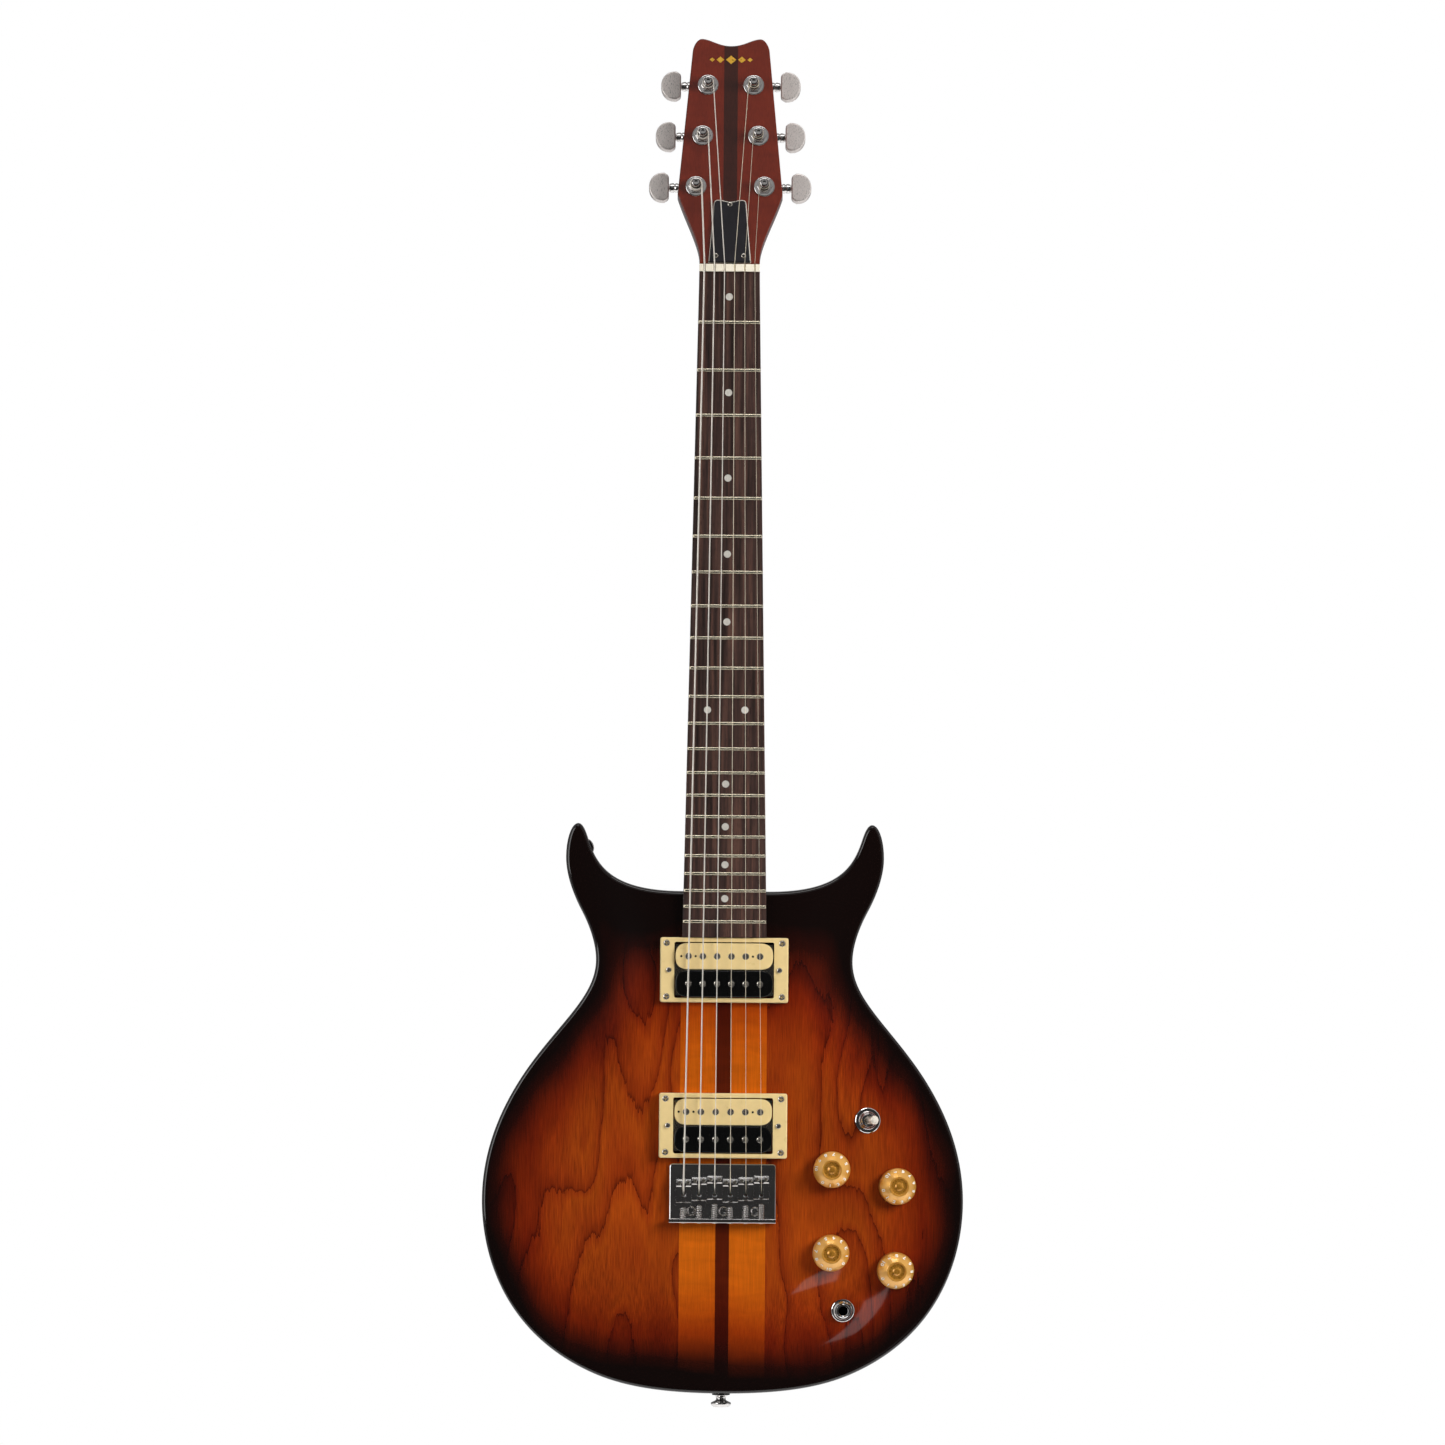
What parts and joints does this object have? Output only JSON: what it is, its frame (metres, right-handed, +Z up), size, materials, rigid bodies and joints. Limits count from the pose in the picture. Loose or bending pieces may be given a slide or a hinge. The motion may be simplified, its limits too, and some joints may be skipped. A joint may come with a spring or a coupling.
{
  "type": "electric guitar",
  "caption": "Double-cutaway solid electric guitar with a laminated neck-through beam, humbucking pickups, hardtail bridge, geared tuners and rotary controls.",
  "frame": {"origin": "centre of the flat end of the strap button at the tail, on the body's middle plane", "axes": "+Z up the neck towards the headstock, +X towards the treble side, -Y out of the front towards the listener"},
  "size_m": [0.335, 0.0705, 0.9541],
  "materials": {
    "neck_lacquer": "laminated maple and walnut under gloss amber lacquer",
    "body_lacquer": "open-grained wood with a sunburst under gloss lacquer",
    "rosewood": "oiled, unlacquered, with fretwire pressed in",
    "bone": "polished bone",
    "cream_plastic": "moulded, satin to gloss",
    "black_plastic": "moulded, gloss",
    "gold_plastic": "clear moulding with gold paint behind it",
    "chrome": "polished plating",
    "steel": "plain nickel-plated steel",
    "wound_string": "nickel winding on a steel core",
    "plain_string": "drawn plain steel"
  },
  "bodies": {
    "guitar": {"neck_through": "neck_lacquer", "body_wing_bass": "body_lacquer", "body_wing_treble": "body_lacquer", "fretboard": "rosewood", "nut": "bone", "truss_rod": "steel", "truss_rod_cover": "black_plastic", "control_cover": "black_plastic", "strap_button_tail": "chrome", "strap_button_horn": "chrome", "output_jack": "chrome", "selector_switch": "chrome", "pickup_ring_neck": "cream_plastic", "pickup_ring_bridge": "cream_plastic", "bridge_plate": "chrome", "pot_volume_neck": "steel", "pot_volume_bridge": "steel", "pot_tone_neck": "steel", "pot_tone_bridge": "steel", "string_low_e": "wound_string", "tuner_low_e_housing": "chrome", "string_a": "wound_string", "tuner_a_housing": "chrome", "string_d": "wound_string", "tuner_d_housing": "chrome", "string_g": "plain_string", "tuner_g_housing": "chrome", "string_b": "plain_string", "tuner_b_housing": "chrome", "string_high_e": "plain_string", "tuner_high_e_housing": "chrome"},
    "pickup_neck": {"pickup_neck_bobbin_cream": "cream_plastic", "pickup_neck_bobbin_black": "black_plastic", "pickup_neck_baseplate": "steel"},
    "pickup_bridge": {"pickup_bridge_bobbin_cream": "cream_plastic", "pickup_bridge_bobbin_black": "black_plastic", "pickup_bridge_baseplate": "steel"},
    "knob_volume_neck": {"knob_volume_neck": "gold_plastic"},
    "knob_volume_bridge": {"knob_volume_bridge": "gold_plastic"},
    "knob_tone_neck": {"knob_tone_neck": "gold_plastic"},
    "knob_tone_bridge": {"knob_tone_bridge": "gold_plastic"},
    "selector_lever": {"selector_lever": "chrome"},
    "tuner_low_e_button": {"tuner_low_e_button": "chrome"},
    "tuner_low_e_post": {"tuner_low_e_post": "chrome"},
    "tuner_a_button": {"tuner_a_button": "chrome"},
    "tuner_a_post": {"tuner_a_post": "chrome"},
    "tuner_d_button": {"tuner_d_button": "chrome"},
    "tuner_d_post": {"tuner_d_post": "chrome"},
    "tuner_g_button": {"tuner_g_button": "chrome"},
    "tuner_g_post": {"tuner_g_post": "chrome"},
    "tuner_b_button": {"tuner_b_button": "chrome"},
    "tuner_b_post": {"tuner_b_post": "chrome"},
    "tuner_high_e_button": {"tuner_high_e_button": "chrome"},
    "tuner_high_e_post": {"tuner_high_e_post": "chrome"},
    "saddle_low_e": {"saddle_low_e": "chrome"},
    "saddle_a": {"saddle_a": "chrome"},
    "saddle_d": {"saddle_d": "chrome"},
    "saddle_g": {"saddle_g": "chrome"},
    "saddle_b": {"saddle_b": "chrome"},
    "saddle_high_e": {"saddle_high_e": "chrome"}
  },
  "joints": [
    {"name": "pickup_neck_height", "type": "slide", "parent": "guitar", "child": "pickup_neck", "axis": [0, -1, 0], "range_m": [-0.003, 0.0015]},
    {"name": "pickup_bridge_height", "type": "slide", "parent": "guitar", "child": "pickup_bridge", "axis": [0, -1, 0], "range_m": [-0.003, 0.0015]},
    {"name": "volume_neck_turn", "type": "hinge", "parent": "guitar", "child": "knob_volume_neck", "pos_m": [0.0759, -0.02199, 0.1665], "axis": [0.01, -0.9999, 0.0009], "range_deg": [-45, 255]},
    {"name": "volume_bridge_turn", "type": "hinge", "parent": "guitar", "child": "knob_volume_bridge", "pos_m": [0.1211, -0.01737, 0.155], "axis": [0.1409, -0.99, 0.0069], "range_deg": [-3, 297]},
    {"name": "tone_neck_turn", "type": "hinge", "parent": "guitar", "child": "knob_tone_neck", "pos_m": [0.0754, -0.02157, 0.1087], "axis": [0.0598, -0.9973, -0.0434], "range_deg": [-132, 168]},
    {"name": "tone_bridge_turn", "type": "hinge", "parent": "guitar", "child": "knob_tone_bridge", "pos_m": [0.1203, -0.01575, 0.0968], "axis": [0.1077, -0.992, -0.0656], "range_deg": [-18, 282]},
    {"name": "selector_tilt", "type": "hinge", "parent": "guitar", "child": "selector_lever", "pos_m": [0.10092, -0.02142, 0.20089], "axis": [0, 0.0436, 0.999], "range_deg": [-34, 0]},
    {"name": "tuner_low_e_wind", "type": "hinge", "parent": "guitar", "child": "tuner_low_e_button", "pos_m": [-0.0427, 0.01098, 0.84951], "axis": [-1, 0, 0], "continuous": true},
    {"name": "tuner_low_e_spool", "type": "hinge", "parent": "guitar", "child": "tuner_low_e_post", "pos_m": [-0.0238, -0.00852, 0.85025], "axis": [0, -0.9703, 0.2419], "continuous": true},
    {"name": "tuner_a_wind", "type": "hinge", "parent": "guitar", "child": "tuner_a_button", "pos_m": [-0.0383, 0.01985, 0.88512], "axis": [-1, 0, 0], "continuous": true},
    {"name": "tuner_a_spool", "type": "hinge", "parent": "guitar", "child": "tuner_a_post", "pos_m": [-0.0194, 0.00035, 0.88585], "axis": [0, -0.9703, 0.2419], "continuous": true},
    {"name": "tuner_d_wind", "type": "hinge", "parent": "guitar", "child": "tuner_d_button", "pos_m": [-0.0348, 0.02873, 0.92073], "axis": [-1, 0, 0], "continuous": true},
    {"name": "tuner_d_spool", "type": "hinge", "parent": "guitar", "child": "tuner_d_post", "pos_m": [-0.0159, 0.00923, 0.92146], "axis": [0, -0.9703, 0.2419], "continuous": true},
    {"name": "tuner_g_wind", "type": "hinge", "parent": "guitar", "child": "tuner_g_button", "pos_m": [0.0348, 0.02873, 0.92073], "axis": [1, 0, 0], "continuous": true},
    {"name": "tuner_g_spool", "type": "hinge", "parent": "guitar", "child": "tuner_g_post", "pos_m": [0.0159, 0.00923, 0.92146], "axis": [0, -0.9703, 0.2419], "continuous": true},
    {"name": "tuner_b_wind", "type": "hinge", "parent": "guitar", "child": "tuner_b_button", "pos_m": [0.0383, 0.01985, 0.88512], "axis": [1, 0, 0], "continuous": true},
    {"name": "tuner_b_spool", "type": "hinge", "parent": "guitar", "child": "tuner_b_post", "pos_m": [0.0194, 0.00035, 0.88585], "axis": [0, -0.9703, 0.2419], "continuous": true},
    {"name": "tuner_high_e_wind", "type": "hinge", "parent": "guitar", "child": "tuner_high_e_button", "pos_m": [0.0427, 0.01098, 0.84951], "axis": [1, 0, 0], "continuous": true},
    {"name": "tuner_high_e_spool", "type": "hinge", "parent": "guitar", "child": "tuner_high_e_post", "pos_m": [0.0238, -0.00852, 0.85025], "axis": [0, -0.9703, 0.2419], "continuous": true},
    {"name": "saddle_low_e_intonation", "type": "slide", "parent": "guitar", "child": "saddle_low_e", "axis": [0, 0, 1], "range_m": [-0.0023, 0.0023]},
    {"name": "saddle_a_intonation", "type": "slide", "parent": "guitar", "child": "saddle_a", "axis": [0, 0, 1], "range_m": [-0.0023, 0.0023]},
    {"name": "saddle_d_intonation", "type": "slide", "parent": "guitar", "child": "saddle_d", "axis": [0, 0, 1], "range_m": [-0.0023, 0.0023]},
    {"name": "saddle_g_intonation", "type": "slide", "parent": "guitar", "child": "saddle_g", "axis": [0, 0, 1], "range_m": [-0.0023, 0.0023]},
    {"name": "saddle_b_intonation", "type": "slide", "parent": "guitar", "child": "saddle_b", "axis": [0, 0, 1], "range_m": [-0.0023, 0.0023]},
    {"name": "saddle_high_e_intonation", "type": "slide", "parent": "guitar", "child": "saddle_high_e", "axis": [0, 0, 1], "range_m": [-0.0023, 0.0023]}
  ],
  "couplings": [
    {"joint": "tuner_low_e_spool", "follows": "tuner_low_e_wind", "ratio": 0.071429},
    {"joint": "tuner_a_spool", "follows": "tuner_a_wind", "ratio": 0.071429},
    {"joint": "tuner_d_spool", "follows": "tuner_d_wind", "ratio": 0.071429},
    {"joint": "tuner_g_spool", "follows": "tuner_g_wind", "ratio": -0.071429},
    {"joint": "tuner_b_spool", "follows": "tuner_b_wind", "ratio": -0.071429},
    {"joint": "tuner_high_e_spool", "follows": "tuner_high_e_wind", "ratio": -0.071429}
  ]
}
